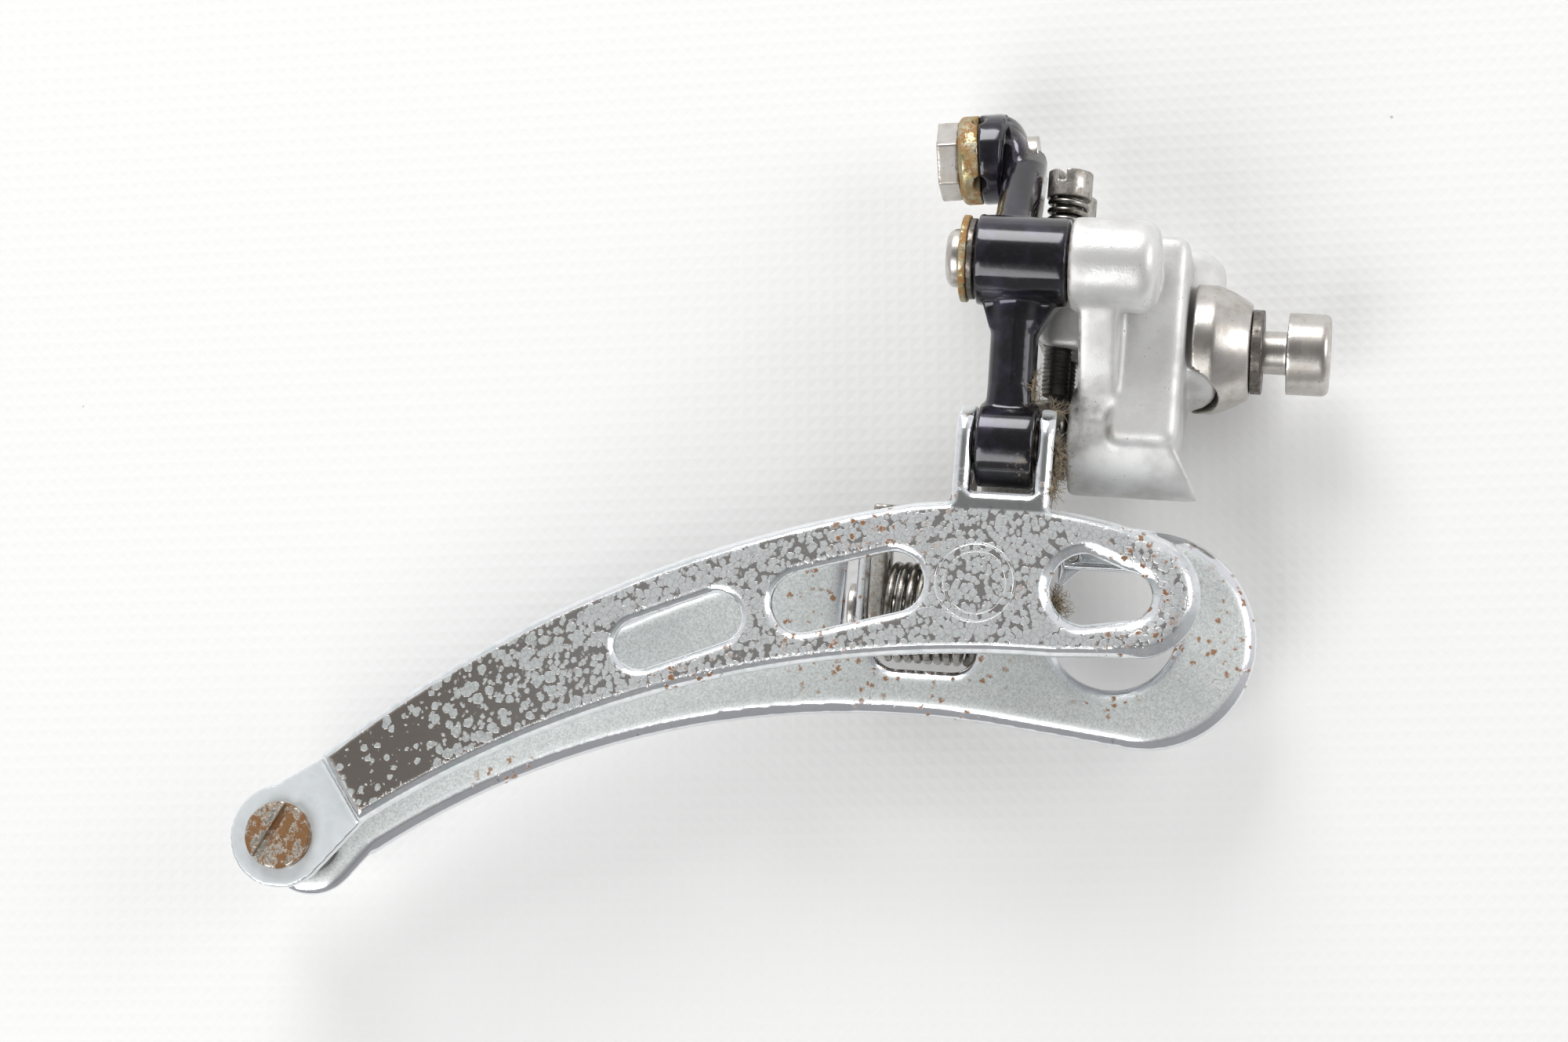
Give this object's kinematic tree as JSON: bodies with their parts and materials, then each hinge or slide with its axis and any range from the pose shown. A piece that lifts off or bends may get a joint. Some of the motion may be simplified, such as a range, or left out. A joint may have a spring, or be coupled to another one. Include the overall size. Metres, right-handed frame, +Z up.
{
  "type": "front derailleur",
  "caption": "Clampless bicycle front derailleur: forged body, black parallelogram link with cable arm, slotted chrome cage, two limit screws and a saddle-washer mounting bolt.",
  "frame": {"origin": "apex of the saddle rib on the mounting bolt's axis", "axes": "+X forward along the mounting bolt and parallel to every pivot axis, +Y inboard towards the frame, +Z up the seat tube"},
  "size_m": [0.1204, 0.0283, 0.0977],
  "materials": {
    "cast_alloy": "satin polished, worn",
    "polished_steel": "polished with warm patina",
    "dark_steel": "dull, dirty",
    "yellow_zinc": "yellow plating with rust",
    "black_anodised": "glossy black anodising",
    "bronze": "plain",
    "link_steel": "plated, dirty",
    "spring_steel": "oiled wire",
    "plate_chrome": "chrome with speckled oxidation",
    "inner_chrome": "frosted chrome, bright rim",
    "rusty_steel": "zinc plate with rust",
    "screw_steel": "worn plating"
  },
  "bodies": {
    "body": {"body_casting": "cast_alloy", "mounting_bolt": "polished_steel", "saddle_washer": "polished_steel", "thin_washer": "dark_steel", "upper_pivot_pin": "polished_steel", "bright_pivot_washer": "yellow_zinc", "dark_pivot_washer": "dark_steel", "inner_upper_pin": "polished_steel"},
    "outer_link": {"outer_link": "black_anodised", "outer_upper_bush": "bronze", "outer_lower_bush": "bronze", "cable_clamp_bolt": "polished_steel", "cable_clamp_washer": "yellow_zinc"},
    "inner_link": {"inner_link": "link_steel", "inner_upper_bush": "bronze", "return_spring": "spring_steel"},
    "cage": {"outer_cage_plate": "plate_chrome", "inner_cage_plate": "inner_chrome", "bridge_rivets": "polished_steel", "outer_cage_pin": "dark_steel", "inner_cage_pin": "polished_steel", "tail_screw": "rusty_steel", "tail_spacer": "dark_steel"},
    "front_screw": {"front_limit_screw": "screw_steel", "front_limit_spring": "spring_steel"},
    "rear_screw": {"rear_limit_screw": "screw_steel", "rear_limit_spring": "spring_steel"}
  },
  "joints": [
    {"name": "outer_link_swing", "type": "hinge", "parent": "body", "child": "outer_link", "pos_m": [-0.022, -0.0145, 0.006], "axis": [-1, 0, 0], "range_deg": [0, 36], "stiffness_Nm_per_rad": 0.3, "springref_deg": -28.65},
    {"name": "inner_link_swing", "type": "hinge", "parent": "body", "child": "inner_link", "pos_m": [-0.022, -0.002, -0.012], "axis": [-1, 0, 0], "range_deg": [0, 36]},
    {"name": "cage_swing", "type": "hinge", "parent": "inner_link", "child": "cage", "pos_m": [-0.029, 0.001, -0.03279], "axis": [-1, 0, 0], "range_deg": [-36, 0], "deforming": ["return_spring"]},
    {"name": "front_screw_travel", "type": "slide", "parent": "body", "child": "front_screw", "axis": [0, 0, 1], "range_m": [0, 0.0025], "deforming": ["front_limit_spring"]},
    {"name": "rear_screw_travel", "type": "slide", "parent": "body", "child": "rear_screw", "axis": [0, 0, 1], "range_m": [0, 0.0025], "deforming": ["rear_limit_spring"]}
  ],
  "couplings": [
    {"joint": "inner_link_swing", "follows": "outer_link_swing", "ratio": 1},
    {"joint": "cage_swing", "follows": "outer_link_swing", "ratio": -1}
  ]
}
